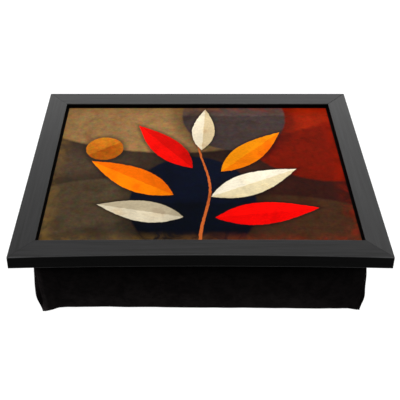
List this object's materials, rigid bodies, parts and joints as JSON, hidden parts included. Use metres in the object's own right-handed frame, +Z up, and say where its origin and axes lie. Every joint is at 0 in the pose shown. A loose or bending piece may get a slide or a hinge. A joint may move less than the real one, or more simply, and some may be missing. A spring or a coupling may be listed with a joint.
{
  "type": "cushioned lap tray",
  "caption": "Rectangular breakfast tray: a mitred black frame round a recessed printed panel, on a soft black bead-filled cushion.",
  "frame": {"origin": "on the surface that the cushion rests on, under the middle of the tray", "axes": "+X to the right along the tray's long side, +Y away from the person who uses it, +Z up"},
  "size_m": [0.4416, 0.3416, 0.117],
  "materials": {
    "black_foil": "black foil-wrapped moulding, satin, with a faint lengthwise grain",
    "printed_surface": null,
    "fibreboard": "bare brown hardboard",
    "black_fabric": "near-black napped polyester with a short pile",
    "calico": "undyed cotton calico",
    "foam_tape": "white double-sided foam tape",
    "steel": "bright galvanised steel wire and strip"
  },
  "bodies": {
    "root": {"front_rail": "black_foil", "right_rail": "black_foil", "back_rail": "black_foil", "left_rail": "black_foil", "printed_laminate": "printed_surface", "tray_panel": "fibreboard", "cushion_board": "fibreboard", "cushion_cover": "black_fabric", "bead_bag": "calico", "foam_tape_1": "foam_tape", "foam_tape_2": "foam_tape", "foam_tape_3": "foam_tape", "foam_tape_4": "foam_tape", "v_nail_front_left_1": "steel", "v_nail_front_left_2": "steel", "v_nail_front_right_1": "steel", "v_nail_front_right_2": "steel", "v_nail_back_right_1": "steel", "v_nail_back_right_2": "steel", "v_nail_back_left_1": "steel", "v_nail_back_left_2": "steel", "framers_point_front_1": "steel", "framers_point_front_2": "steel", "framers_point_front_3": "steel", "framers_point_right_1": "steel", "framers_point_right_2": "steel", "framers_point_back_1": "steel", "framers_point_back_2": "steel", "framers_point_back_3": "steel", "framers_point_left_1": "steel", "framers_point_left_2": "steel", "staple_front_1": "steel", "staple_front_2": "steel", "staple_front_3": "steel", "staple_front_4": "steel", "staple_front_5": "steel", "staple_front_6": "steel", "staple_right_1": "steel", "staple_right_2": "steel", "staple_right_3": "steel", "staple_right_4": "steel", "staple_back_1": "steel", "staple_back_2": "steel", "staple_back_3": "steel", "staple_back_4": "steel", "staple_back_5": "steel", "staple_back_6": "steel", "staple_left_1": "steel", "staple_left_2": "steel", "staple_left_3": "steel", "staple_left_4": "steel"}
  },
  "joints": []
}
